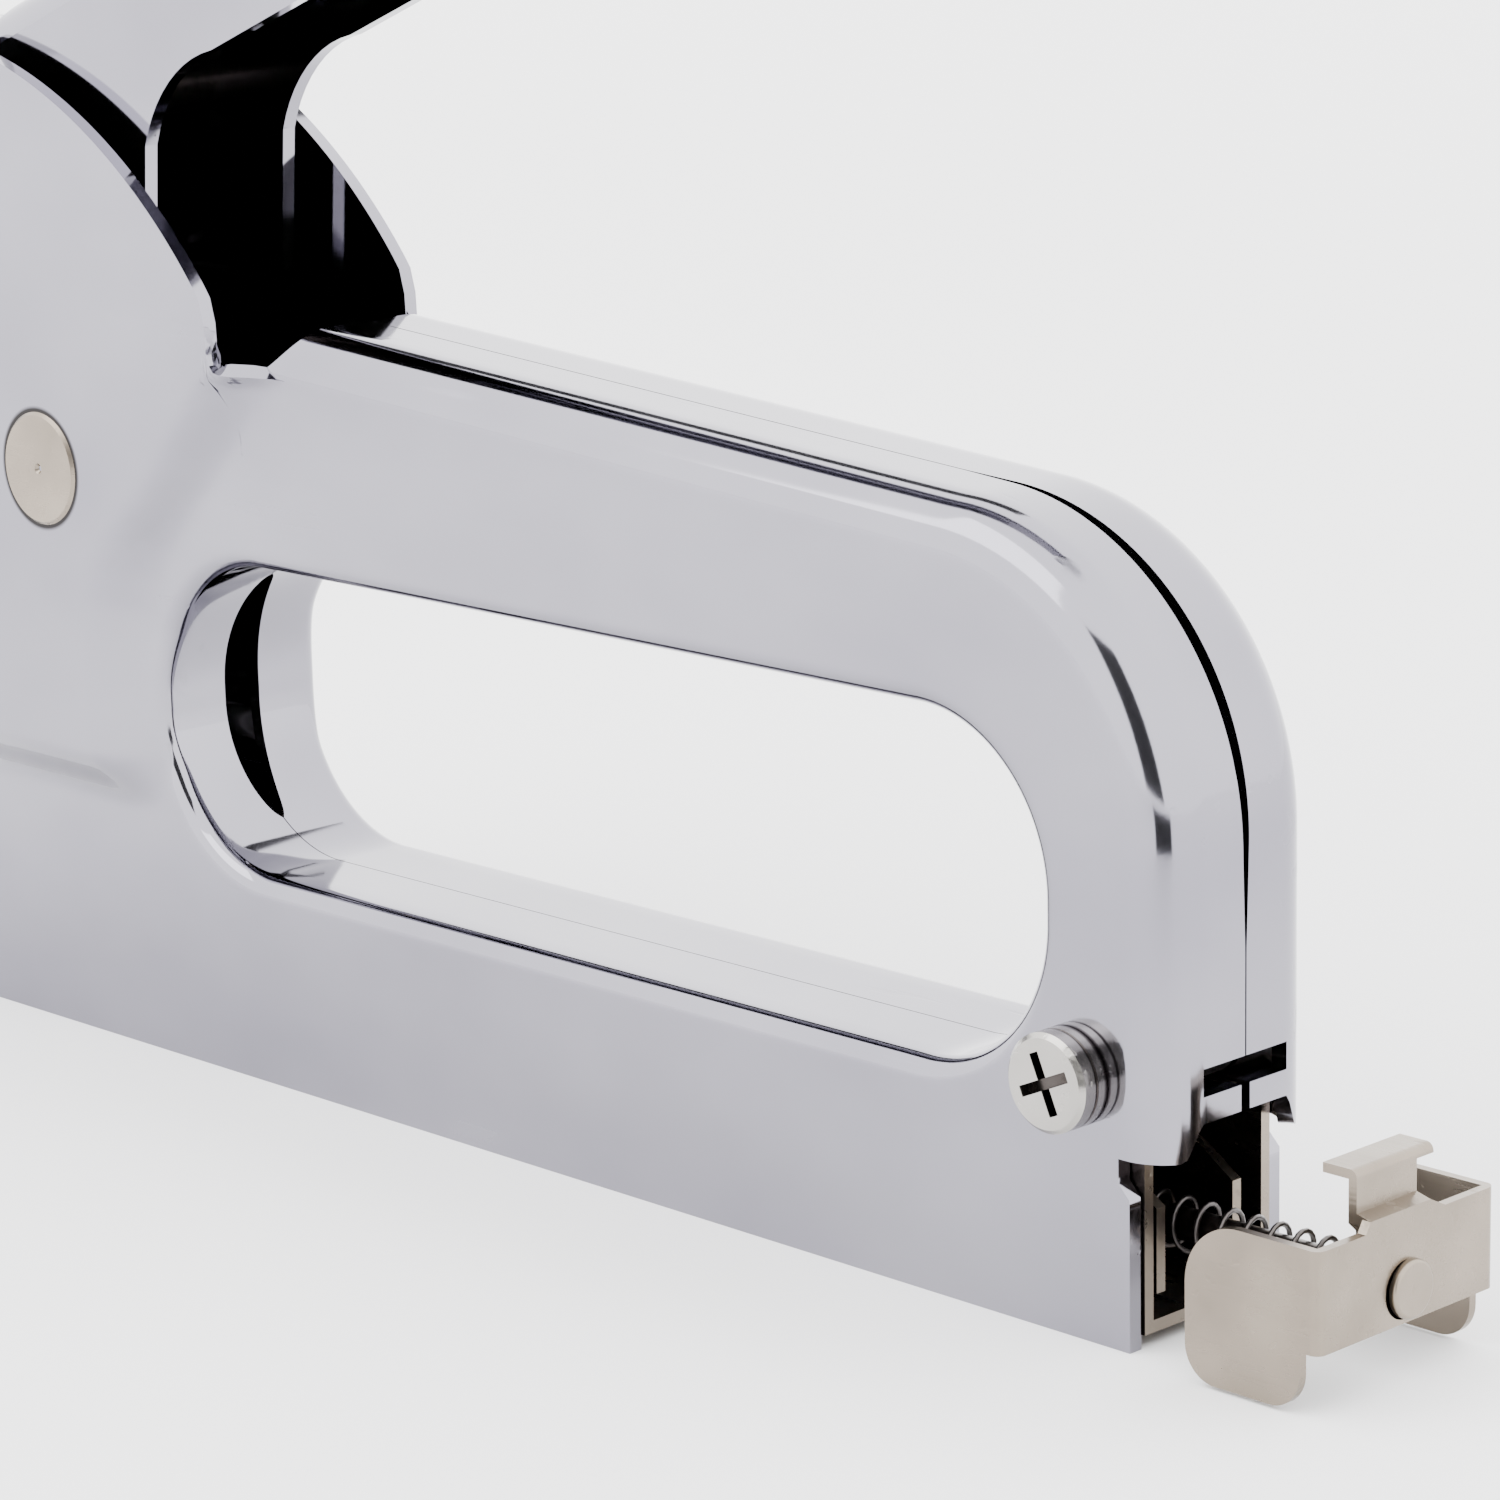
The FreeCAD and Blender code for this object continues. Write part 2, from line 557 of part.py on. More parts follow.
screw_x, screw_z = rear_x - size("screw_back"), size("screw_height")
washer_face = half_width + size("washer_height")
screw_face = washer_face + size("screw_head_height")
screw_r, screw_head = size("screw_radius"), size("screw_head_radius")
play = size("running_gap")
screw = turned("rear_screw", [
    (0.0, -screw_face), (0.0, screw_face - 0.4), (screw_r, screw_face - 0.4), (screw_r, -washer_face),
    (screw_head, -washer_face), (screw_head, 0.35 - screw_face), (screw_head - 0.35, -screw_face)],
    screw_x, screw_z)
sketch = new_sketch(screw, "XZ", screw_face)
arm, arm_half = size("cross_length") / 2, size("cross_width") / 2
loop(sketch, [(-arm, -arm_half), (-arm, arm_half), (-arm_half, arm_half), (-arm_half, arm), (arm_half, arm),
              (arm_half, arm_half), (arm, arm_half), (arm, -arm_half), (arm_half, -arm_half),
              (arm_half, -arm), (-arm_half, -arm), (-arm_half, -arm_half)])
pocket(screw, sketch, size("cross_depth"))
screw.Placement.Rotation = FreeCAD.Rotation(FreeCAD.Vector(0, 1, 0), -24)
pieces.append(screw)
pieces.append(turned("rear_washer", ring_profile(screw_r + play, screw_head, -washer_face, -half_width, 0.1),
                     screw_x, screw_z))
pieces.append(turned("rear_nut", ring_profile(screw_r + play, screw_head, half_width, screw_face, 0.35),
                     screw_x, screw_z))
pieces.append(turned("rear_spacer", ring_profile(screw_r + play, size("spacer_radius"),
                                                 size("channel_gap") - inner_half,
                                                 inner_half - size("channel_gap"), 0.2), screw_x, screw_z))

# Drive: front plate, blade, plunger, power spring and its cap ----------------------------------


def block(label, low_x, low_z, high_x, high_z, half_across):
    """A plain block, alike on both sides of the centre plane."""
    body = new_body(label)
    outline_sketch = new_sketch(body, "XZ")
    box_loop(outline_sketch, low_x, low_z, high_x, high_z)
    pad(body, outline_sketch, half_across * 2, middle=True)
    return body


gap = size("channel_gap")
plate_front = front_x + wall + gap
blade_front = plate_front + size("front_plate_thickness") + gap
blade_rear = blade_front + size("blade_thickness")
corner_r = size("bend_radius") - wall


def corner_room(x):
    """Half the width inside the housing's rounded front corners at x."""
    reach = front_x + size("bend_radius") - x
    return half_width - size("bend_radius") + root(corner_r * corner_r - reach * reach) - gap


front_plate = new_body("front_plate")
sketch = new_sketch(front_plate, "XY", 0.2)
near, far = corner_room(plate_front), corner_room(blade_front - gap)
loop(sketch, [(plate_front, -near), (plate_front, near), (blade_front - gap, far), (blade_front - gap, -far)])
pad(front_plate, sketch, size("front_plate_top"))
pieces.append(front_plate)

plunger_low, plunger_high = lift_pin_z - size("plunger_below_pin"), lift_pin_z + size("plunger_above_pin")
pieces.append(block("driver_blade", blade_front, size("blade_tip"), blade_rear, plunger_high,
                    size("blade_half_width")))

plunger = new_body("plunger")
sketch = new_sketch(plunger, "XZ")
plunger_rear = rear_x - size("plunger_rear_back")
grip_half = size("lift_barrel_radius") + size("notch_play")
grip_x = pivot_x - size("lever_arm") - grip_half
loop(sketch, [(blade_rear, plunger_low), (blade_rear, plunger_high), (plunger_rear, plunger_high),
              (plunger_rear, lift_pin_z + grip_half), (grip_x + grip_half, lift_pin_z + grip_half, -grip_half),
              (grip_x, lift_pin_z, -grip_half), (grip_x + grip_half, lift_pin_z - grip_half),
              (plunger_rear, lift_pin_z - grip_half), (plunger_rear, plunger_low)])
pad(plunger, sketch, size("plunger_half_width") * 2, middle=True)
pieces.append(plunger)

coil_x = rear_x - size("spring_back")


def coil(label, mean_radius, wire, length, turns, x, y, z, along="Z"):
    """A compression spring: a round wire swept along a helix of the given length."""
    helix = doc.addObject("Part::Helix", label + "_path")
    run = length - wire
    helix.setExpression("Radius", Size.of(mean_radius).text)
    helix.setExpression("Height", run.text)
    helix.setExpression("Pitch", (run / turns).text)
    ring = doc.addObject("Part::Circle", label + "_wire")
    ring.setExpression("Radius", (wire / 2).text)
    ring.Placement.Rotation = FreeCAD.Rotation(FreeCAD.Vector(1, 0, 0), 90)
    ring.setExpression(".Placement.Base.x", Size.of(mean_radius).text)
    doc.recompute()
    sweep = doc.addObject("Part::Sweep", label)
    sweep.Sections = [ring]
    sweep.Spine = (helix, ["Edge%d" % n for n in range(1, len(helix.Shape.Edges) + 1)])
    sweep.Solid, sweep.Frenet = True, True
    if along == "X":
        sweep.Placement.Rotation = FreeCAD.Rotation(FreeCAD.Vector(0, 1, 0), 90)
    places = {"x": x, "y": y, "z": z}
    places[along.lower()] = places[along.lower()] + wire / 2
    for name, value in places.items():
        sweep.setExpression(".Placement.Base." + name, Size.of(value).text)
    sweep.Label = label
    doc.recompute()
    return sweep


pieces.append(coil("power_spring", size("spring_mean_radius"), size("spring_wire"),
                   size("spring_top") - plunger_high, size("spring_turns"), coil_x, 0.0, plunger_high))

cap = new_body("spring_cap")
sketch = new_sketch(cap, "XY", size("spring_top"))
circle(sketch, coil_x, 0.0, size("spring_mean_radius") + size("spring_wire") / 2)
pad(cap, sketch, size("cap_plate"))
sketch = new_sketch(cap, "XY", size("spring_top"))
circle(sketch, coil_x, 0.0, size("cap_stub_radius"))
pad(cap, sketch, size("cap_stub_length"), reverse=True)
under_r = nose_radius - wall - size("slip")


def under_nose(x):
    across = x - crown_x
    return nose_z + root(under_r * under_r - across * across)


block_front, block_rear = coil_x - 5.0, coil_x + 5.0
sketch = new_sketch(cap, "XZ")
loop(sketch, [(block_front, size("spring_top") + 0.5), (block_front, under_nose(block_front), under_r),
              (block_rear, under_nose(block_rear)), (block_rear, size("spring_top") + 0.5)])
pad(cap, sketch, size("cap_block_half_width") * 2, middle=True)
pieces.append(cap)

# Magazine: channel, core rail and the strip of staples -----------------------------------------


def side_plates(body, outline_points, inner, thickness):
    """Adds the same plate on both sides of the centre plane, from an outline seen from the side."""
    for direction in (1, -1):
        plate = new_sketch(body, "XZ", inner * direction)
        loop(plate, outline_points)
        pad(body, plate, thickness, reverse=direction < 0)


def box_points(low_x, low_z, high_x, high_z):
    return [(low_x, low_z), (low_x, high_z), (high_x, high_z), (high_x, low_z)]


channel_outer = inner_half - gap
channel_inner = channel_outer - size("channel_wall")
floor_top = size("channel_floor") + size("channel_wall")
channel_front = front_x + size("channel_front_gap")
channel = new_body("magazine_channel")
sketch = new_sketch(channel, "YZ", channel_front)
loop(sketch, [(-channel_outer, size("channel_floor")), (-channel_outer, size("channel_top")),
              (-channel_inner, size("channel_top")), (-channel_inner, floor_top), (channel_inner, floor_top),
              (channel_inner, size("channel_top")), (channel_outer, size("channel_top")),
              (channel_outer, size("channel_floor"))])
pad(channel, sketch, rear_x + size("channel_rear") - channel_front)
side_plates(channel, box_points(channel_front, size("channel_top") - 2.0, channel_front + size("ear_length"),
                                size("ear_top")), channel_inner, size("channel_wall"))
sketch = new_sketch(channel, "XZ")
circle(sketch, rivet_place["front_rivet"], size("front_rivet_height"), size("rivet_radius") + play)
pocket(channel, sketch, size("body_width") * 2, middle=True)
pieces.append(channel)

core_outer, core_top = size("core_half_width"), size("core_top")
core_inner, web_low = core_outer - size("core_wall"), core_top - size("core_wall")
core_front, core_rear = front_x + size("core_front_gap"), rear_x - size("core_rear_back")
core = new_body("core_rail")
sketch = new_sketch(core, "YZ", core_front)
loop(sketch, [(-core_outer, size("core_bottom")), (-core_outer, core_top), (core_outer, core_top),
              (core_outer, size("core_bottom")), (core_inner, size("core_bottom")), (core_inner, web_low),
              (-core_inner, web_low), (-core_inner, size("core_bottom"))])
pad(core, sketch, core_rear - core_front)
sketch = new_sketch(core, "XZ")
loop(sketch, [(core_rear - size("core_chamfer_back"), core_top), (core_rear - size("core_chamfer_back"),
              core_top + 1.0), (core_rear + 1.0, core_top + 1.0),
              (core_rear + 1.0, core_top - size("core_chamfer_drop") - 1.0),
              (core_rear, core_top - size("core_chamfer_drop"))])
pocket(core, sketch, size("body_width") * 2, middle=True)
side_plates(core, box_points(core_front, floor_top, core_front + size("core_foot_length"),
                             size("core_bottom") + 1.0), core_inner, size("core_wall"))
pieces.append(core)

strip_inner = core_outer + size("snug")
strip_outer = strip_inner + size("staple_wire")
crown_low = core_top + size("snug")
crown_high = crown_low + size("staple_wire")
leg_low = crown_high - size("staple_leg")
staples = new_body("staples")
sketch = new_sketch(staples, "YZ", core_front + gap)
loop(sketch, [(-strip_outer, leg_low), (-strip_outer, crown_high), (strip_outer, crown_high),
              (strip_outer, leg_low), (strip_inner, leg_low), (strip_inner, crown_low),
              (-strip_inner, crown_low), (-strip_inner, leg_low)])
pad(staples, sketch, size("strip_length"))
pieces.append(staples)

# Pusher: rod, spring, follower and latch plate ---------------------------------------------------

slip = size("slip")
rod_z, rod_r = size("rod_height"), size("rod_radius")
latch_rear = rear_x + size("latch_out")
sheet_t = size("latch_sheet")
latch_front = latch_rear - sheet_t
rod_end = latch_rear + size("rod_head_height")
eye_x = rear_x - size("eye_back")
guide_front, guide_rear = eye_x - size("guide_length") / 2, eye_x + size("guide_length") / 2
slot_half = rod_r + 0.3
collar_front = latch_front - play - size("rod_collar_length")


def across_disc(body, level, y, radius, length):
    """Adds a round disc or rod along the gun, starting at the level."""
    disc = new_sketch(body, "YZ", level)
    circle(disc, y, rod_z, radius)
    pad(body, disc, length)


rod = new_body("pusher_rod")
across_disc(rod, eye_x, 0.0, rod_r, rod_end - eye_x)
across_disc(rod, collar_front, 0.0, size("rod_collar_radius"), size("rod_collar_length"))
across_disc(rod, latch_rear, 0.0, size("rod_head_radius"), size("rod_head_height"))
round_edges(rod, 0.3, lambda edge, middle: edge.BoundBox.XMin > rod_end.value - 1e-3
            and edge.BoundBox.YLength > rod_r.value * 2 + 0.5)
sketch = new_sketch(rod, "XZ")
circle(sketch, eye_x, rod_z, size("eye_radius"))
pad(rod, sketch, size("eye_thickness"), middle=True)
sketch = new_sketch(rod, "XZ")
circle(sketch, eye_x, rod_z, size("eye_pin_radius") + play)
pocket(rod, sketch, rod_r * 4, middle=True)
pieces.append(rod)

guide_half = core_inner - slip
guide = block("rod_guide", guide_front, floor_top + slip, guide_rear, web_low - slip, guide_half)
sketch = new_sketch(guide, "YZ", guide_front + 0.5)
box_loop(sketch, -slot_half, rod_z - size("eye_radius") - slip, slot_half, web_low - slip - 0.6)
pocket(guide, sketch, size("guide_length"), reverse=True)
sketch = new_sketch(guide, "XZ")
circle(sketch, eye_x, rod_z, size("eye_pin_radius"))
pocket(guide, sketch, guide_half * 4, middle=True)
pieces.append(guide)
pieces.append(turned("guide_pin", pin_profile([(size("eye_pin_radius"), guide_half)], guide_half), eye_x, rod_z))

stop_front = guide_rear + slip
rod_stop = new_body("rod_stop")
sketch = new_sketch(rod_stop, "YZ", stop_front)
circle(sketch, 0.0, rod_z, size("stop_radius"))
circle(sketch, 0.0, rod_z, rod_r + size("snug") / 2)
pad(rod_stop, sketch, size("stop_length"))
pieces.append(rod_stop)

follower_front = stop_front + size("stop_length") + slip
follower_rear = follower_front + size("follower_length")
follower_half, follower_low = channel_inner - slip, floor_top + slip
follower_top = core_top + slip + 0.8
leg_half = core_outer + slip
follower = new_body("follower")
sketch = new_sketch(follower, "YZ", follower_front)
box_loop(sketch, -follower_half, follower_low, follower_half, follower_top)
pad(follower, sketch, size("follower_length"))
sketch = new_sketch(follower, "YZ", follower_front - 1.0)
loop(sketch, [(-leg_half, size("core_bottom") - slip), (-leg_half, core_top + slip), (leg_half, core_top + slip),
              (leg_half, size("core_bottom") - slip), (guide_half, size("core_bottom") - slip),
              (guide_half, web_low - slip), (-guide_half, web_low - slip), (-guide_half, size("core_bottom") - slip)])
pocket(follower, sketch, size("follower_length") + 2.0, reverse=True)
sketch = new_sketch(follower, "YZ", follower_front - 1.0)
box_loop(sketch, -slot_half, rod_z - slot_half, slot_half, rod_z + size("follower_lift_room"))
pocket(follower, sketch, size("follower_length") + 2.0, reverse=True)
pieces.append(follower)

pieces.append(coil("pusher_spring", size("coil_mean_radius"), size("coil_wire"),
                   collar_front - follower_rear, size("coil_turns"), follower_rear, 0.0, rod_z, along="X"))

latch = new_body("latch_plate")
latch_half, latch_top = size("latch_half_width"), size("latch_top")
tab_rear = latch_rear - size("tab_jog")
tab_front = tab_rear - sheet_t
ledge, slope_run = 0.8, 1.6
sketch = new_sketch(latch, "YZ", latch_front)
loop(sketch, [(-latch_half, size("latch_bottom")), (-latch_half, latch_top), (-size("tab_left") - 0.5, latch_top),
              (-size("tab_left"), latch_top + ledge), (size("tab_right"), latch_top + ledge),
              (size("tab_right") + slope_run, latch_top), (latch_half, latch_top),
              (latch_half, size("latch_bottom"))])
pad(latch, sketch, sheet_t)
wing_front, step_x = latch_rear - size("wing_length"), latch_rear - size("wing_step_back")
top_r, foot_r, low = size("wing_top_radius"), size("wing_foot_radius"), size("wing_bottom")
side_plates(latch, [(wing_front, low + foot_r), (wing_front, latch_top - top_r, top_r),
                    (wing_front + top_r, latch_top), (latch_rear, latch_top), (latch_rear, size("latch_bottom")),
                    (step_x, size("latch_bottom")), (step_x, low + foot_r, foot_r),
                    (step_x - foot_r, low), (wing_front + foot_r, low, foot_r)],
            latch_half - sheet_t, sheet_t)
round_edges(latch, size("latch_bend_radius"), lambda edge, middle: abs(middle.x - latch_rear.value) < 1e-4
            and abs(abs(middle.y) - latch_half.value) < 1e-4 and edge.BoundBox.ZLength > 5)
sketch = new_sketch(latch, "XZ", -size("tab_right"))
tab_top = size("tab_top")
loop(sketch, [(tab_front, latch_top + 0.3), (tab_front, tab_top), (tab_rear, tab_top),
              (tab_rear, latch_top + ledge + 0.3), (latch_rear, latch_top + ledge), (latch_rear, latch_top - 0.4),
              (latch_front, latch_top - 0.4)])
pad(latch, sketch, size("tab_left") + size("tab_right"))
sketch = new_sketch(latch, "XZ", -size("lip_right"))
box_loop(sketch, tab_front - size("lip_forward"), tab_top - sheet_t, tab_rear, tab_top)
pad(latch, sketch, size("tab_left") + size("lip_right"))
round_edges(latch, 0.6, lambda edge, middle: abs(middle.x - tab_rear.value) < 1e-4
            and abs(middle.z - tab_top.value) < 1e-4)
sketch = new_sketch(latch, "YZ", latch_front - 0.1)
circle(sketch, -size("latch_hole_offset"), rod_z, size("latch_hole_radius"))
pocket(latch, sketch, sheet_t + 0.2, reverse=True)
pieces.append(latch)

# Check every object, then write one file per piece -----------------------------------------------

doc.recompute()
for thing in doc.Objects:
    if any(state in ("Invalid", "Error") for state in thing.State):
        raise RuntimeError("%s could not be computed" % thing.Label)
for piece in pieces:
    if piece.Shape.isNull() or not piece.Shape.isValid() or len(piece.Shape.Solids) != 1:
        raise RuntimeError("%s is not one valid solid" % piece.Label)

os.makedirs("parts", exist_ok=True)
for piece in pieces:
    piece.Shape.exportStep(os.path.join("parts", piece.Label + ".step"))
    print("%-18s %9.1f mm3" % (piece.Label, piece.Shape.Volume))
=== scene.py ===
"""Heavy-duty hand staple gun: finishes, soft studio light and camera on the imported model."""
import math

import bmesh
import bpy
import numpy as np
from mathutils import Matrix, Vector


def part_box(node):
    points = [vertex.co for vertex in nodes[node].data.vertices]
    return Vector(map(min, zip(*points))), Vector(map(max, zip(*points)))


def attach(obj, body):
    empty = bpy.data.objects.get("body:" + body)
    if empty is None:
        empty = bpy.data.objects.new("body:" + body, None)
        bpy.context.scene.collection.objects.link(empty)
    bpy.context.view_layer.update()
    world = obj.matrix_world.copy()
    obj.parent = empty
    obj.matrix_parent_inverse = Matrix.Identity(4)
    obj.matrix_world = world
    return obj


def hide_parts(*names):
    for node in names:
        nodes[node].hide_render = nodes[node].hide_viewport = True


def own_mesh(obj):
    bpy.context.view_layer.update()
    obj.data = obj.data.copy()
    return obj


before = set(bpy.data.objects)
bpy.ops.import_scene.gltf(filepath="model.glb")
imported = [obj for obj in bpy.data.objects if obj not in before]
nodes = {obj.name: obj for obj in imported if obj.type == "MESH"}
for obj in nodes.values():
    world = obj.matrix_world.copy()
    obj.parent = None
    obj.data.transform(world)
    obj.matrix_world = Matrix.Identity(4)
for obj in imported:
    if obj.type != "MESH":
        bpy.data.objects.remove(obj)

bpy.context.view_layer.update()


MM = 0.001
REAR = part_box("housing_left")[1].x / MM - 3.6       # the rear lower edge, in millimetres
PIVOT = np.array([REAR - 116.5, 48.9])
SCREW = np.array([REAR - 5.5, 18.9])

# Finishes -----------------------------------------------------------------------------------

class Amount:
    """A number on a node's socket. Arithmetic on it adds Math nodes to the finish."""

    def __init__(self, finish, socket):
        self.finish, self.socket = finish, socket

    def maths(self, operation, *values, clamp=False):
        made = self.finish.node("ShaderNodeMath", {"operation": operation, "use_clamp": clamp},
                                dict(enumerate(values)))
        return Amount(self.finish, made.outputs[0])

    def __add__(self, other):
        return self.maths("ADD", self, other)

    def __sub__(self, other):
        return self.maths("SUBTRACT", self, other)

    def __rsub__(self, other):
        return self.maths("SUBTRACT", other, self)

    def __mul__(self, other):
        return self.maths("MULTIPLY", self, other)

    __radd__, __rmul__ = __add__, __mul__

    def above(self, edge, blur):
        """0 below the edge and 1 above it, blended over the blur."""
        return self.maths("MULTIPLY_ADD", self, 1 / blur, 0.5 - edge / blur, clamp=True)

    def below(self, edge, blur):
        """1 below the edge and 0 above it, blended over the blur."""
        return self.maths("MULTIPLY_ADD", self, -1 / blur, 0.5 + edge / blur, clamp=True)

    def size(self):
        return self.maths("ABSOLUTE", self)

    def root(self):
        return self.maths("SQRT", self)


class Finish:
    """A material being built round one Principled shader."""

    def __init__(self, name, **constants):
        self.material = bpy.data.materials.new(name)
        self.material.use_nodes = True
        self.tree = self.material.node_tree
        self.shader = self.tree.nodes["Principled BSDF"]
        for socket, value in constants.items():
            self.shader.inputs[socket.replace("_", " ").title()].default_value = value
        self.place = self.node("ShaderNodeTexCoord").outputs["Object"]
        split = self.node("ShaderNodeSeparateXYZ", {}, {"Vector": self.place})
        self.x, self.y, self.z = (Amount(self, out) for out in split.outputs)

    def node(self, kind, settings=None, sockets=None):
        """Adds a node: its settings are set first, then its sockets from values or links."""
        made = self.tree.nodes.new(kind)
        for name, value in (settings or {}).items():
            setattr(made, name, value)
        for name, value in (sockets or {}).items():
            self.feed(made.inputs[name], value)
        return made

    def feed(self, socket, value):
        if isinstance(value, Amount):
            value = value.socket
        if isinstance(value, bpy.types.NodeSocket):
            self.tree.links.new(value, socket)
        else:
            socket.default_value = value

    def grain(self, scale, detail=2.0, stretch=(1.0, 1.0, 1.0), turn=(0.0, 0.0, 0.0)):
        """Noise over the piece, 0 to 1, squeezed along each axis by the stretch."""
        moved = self.node("ShaderNodeMapping", {"vector_type": "POINT"},
                          {"Vector": self.place, "Scale": stretch, "Rotation": turn})
        made = self.node("ShaderNodeTexNoise", {}, {"Vector": moved.outputs[0], "Scale": scale,
                                                    "Detail": detail, "Roughness": 0.5})
        return Amount(self, made.outputs["Fac"])

    def tint(self, factor, first, second):
        """A colour between two colours."""
        made = self.node("ShaderNodeMix", {"data_type": "RGBA"}, {0: factor})
        for socket, colour in ((6, first), (7, second)):
            linked = isinstance(colour, bpy.types.NodeSocket)
            self.feed(made.inputs[socket], colour if linked else (*colour, 1.0))
        return made.outputs[2]

    def surface(self, colour, roughness=None, height=None, depth=0.0001):
        """Feeds the shader, and hands back the finished material. The depth is in metres."""
        self.feed(self.shader.inputs["Base Color"], colour)
        if roughness is not None:
            self.feed(self.shader.inputs["Roughness"], roughness)
        if height is not None:
            bump = self.node("ShaderNodeBump", {}, {"Height": height, "Distance": depth,
                                                    "Strength": 1.0})
            self.feed(self.shader.inputs["Normal"], bump.outputs[0])
        return self.material


def distance_from(finish, centre):
    """How far the surface is from the line that runs across the gun through the centre."""
    along, rise = (float(level) * MM for level in centre)
    across, up = finish.x - along, finish.z - rise
    return (across * across + up * up).root()


def chrome(name):
    """Bright chrome on pressed steel: faint smears, long fine polishing marks, a few short
    scratches, a fine orange peel on the tight bends at the rear, and a painted shadow: a near-black
    ring round the pivot."""
    finish = Finish(name, metallic=1.0)
    smear = finish.grain(28.0, 3.0, (1.0, 1.0, 1.6))
    marks = finish.grain(420.0, 2.0, (0.05, 1.0, 1.0), (0.0, 0.35, 0.0))
    fine = finish.grain(900.0, 2.0, (0.08, 1.0, 1.0), (0.0, -0.2, 0.0))
    scratches = marks.above(0.66, 0.05) * finish.grain(60.0).above(0.6, 0.1)
    hairs = fine.above(0.7, 0.04) * finish.grain(45.0, 2.0, (1.0, 2.0, 1.0)).above(0.62, 0.12)
    peel = finish.grain(1500.0, 1.0)
    tight = finish.x.above(0.055, 0.02)
    wave = finish.grain(38.0, 1.0)
    height = (peel * tight * 0.05 + wave * 2.0 - scratches * 0.25 - hairs * 0.2)
    colour = finish.tint(smear.above(0.5, 0.6), (0.205, 0.198, 0.235), (0.30, 0.292, 0.328))
    # Painted shadow: a near-black ring on the shell round the pivot pin's head, standing in for the
    # shade in the gap.
    out = distance_from(finish, PIVOT)
    ring = (out.above(0.0046, 0.0001) * out.below(0.0051, 0.0003)
            * finish.y.size().above(0.0105, 0.0002))
    colour = finish.tint(ring, colour, (0.02, 0.018, 0.018))
    rough = smear.above(0.55, 0.5) * 0.05 + scratches * 0.2 + hairs * 0.15 + tight * 0.03 + 0.05
    return finish.surface(colour, rough, height, 0.00004)


def shade_on_sides(finish):
    """1 on the flat sides of the channel and rail, inside the gun, and 0 on their cut edges:
    painted shade, taking the sides nearly black between the housing halves.
    """
    facing = finish.node("ShaderNodeNewGeometry").outputs["Normal"]
    split = finish.node("ShaderNodeSeparateXYZ", {}, {"Vector": facing})
    return Amount(finish, split.outputs["Y"]).size().above(0.7, 0.2)


def rod_shank(finish):
    """1 on the rod's shank and 0 on its riveted head."""
    return finish.x.below((REAR + 17.4) * MM, 0.0003)


def screw_recess_shade(finish):
    """Painted shade: 1 down in the cross recess, and on the thin lines under the head and the
    washer, where the zinc is taken nearly black.
    """
    side, radius = finish.y.size(), distance_from(finish, SCREW)
    sunk = (finish.y.above(-0.01045, 0.0001) * finish.y.below(-0.0092, 0.0001)
            * radius.below(0.0026, 0.0001))
    under = (side.above(0.00895, 0.0001) * side.below(0.00925, 0.0001)
             + side.below(0.0083, 0.0002)) * radius.above(0.0030, 0.0001)
    return sunk.maths("ADD", sunk, under, clamp=True)


def satin(name, base, dark, rough, darkening=None):
    """Satin nickel or bare steel: a fine drawn grain, cloudy tone and small pits. The last argument
    is a function that says where the colour is taken nearly black: painted shade on the channel's
    sides and in the screw's recesses, and a darker shank on the rod."""
    finish = Finish(name, metallic=1.0)
    cloud = finish.grain(120.0, 3.0)
    drawn = finish.grain(1600.0, 2.0, (0.06, 1.0, 1.0))
    pits = finish.grain(900.0, 2.0).above(0.68, 0.08)
    colour = finish.tint(cloud.above(0.5, 0.5), base, dark)
    if darkening:
        # Where the mask is 1 the colour goes nearly black: painted shade on the channel's sides and
        # in the screw's recesses, and a darker shank on the rod.
        colour = finish.tint(darkening(finish) * (cloud * 0.3 + 0.8), colour, (0.035, 0.028, 0.026))
    return finish.surface(colour, cloud * 0.12 + drawn * 0.08 + pits * 0.15 + (rough - 0.08),
                          drawn - pits * 0.8, 0.00002)


chrome_plate = chrome("chrome_plate")
NICKEL, NICKEL_DARK = (0.29, 0.247, 0.20), (0.20, 0.168, 0.135)
nickel = satin("satin_nickel", NICKEL, NICKEL_DARK, 0.26)
# Painted shade on the flat sides of the channel and rail inside the gun.
nickel_sheet = satin("nickel_sheet_shaded_inside", NICKEL, NICKEL_DARK, 0.26, darkening=shade_on_sides)
rod_finish = satin("drawn_rod", NICKEL, NICKEL_DARK, 0.30, darkening=rod_shank)
steel = satin("bare_steel", (0.22, 0.21, 0.20), (0.14, 0.135, 0.13), 0.34)
spring_steel = satin("oiled_spring_steel", (0.10, 0.09, 0.085), (0.05, 0.045, 0.045), 0.28)
# Painted shade in the screw's cross recess and under its head and washer.
zinc = satin("bright_zinc", (0.40, 0.385, 0.36), (0.28, 0.267, 0.25), 0.20, darkening=screw_recess_shade)
wire = satin("galvanised_wire", (0.48, 0.48, 0.48), (0.38, 0.38, 0.38), 0.3)

FINISHES = {
    chrome_plate: ("housing_left", "housing_right", "lever"),
    nickel: ("pivot_pin", "front_rivet", "top_rivet", "latch_plate"),
    nickel_sheet: ("magazine_channel", "core_rail"),
    rod_finish: ("pusher_rod",),
    steel: ("lift_pin", "plunger", "driver_blade", "front_plate", "rod_guide", "guide_pin",
            "rod_stop", "follower", "rear_spacer", "spring_cap"),
    zinc: ("rear_screw", "rear_washer", "rear_nut"),
    wire: ("staples",),
    spring_steel: ("power_spring", "pusher_spring"),
}
for material, names in FINISHES.items():
    for name in names:
        piece = nodes[name]
        for place in piece.material_slots:
            place.material = material

# Pressed half shells ---------------------------------------------------------------------------

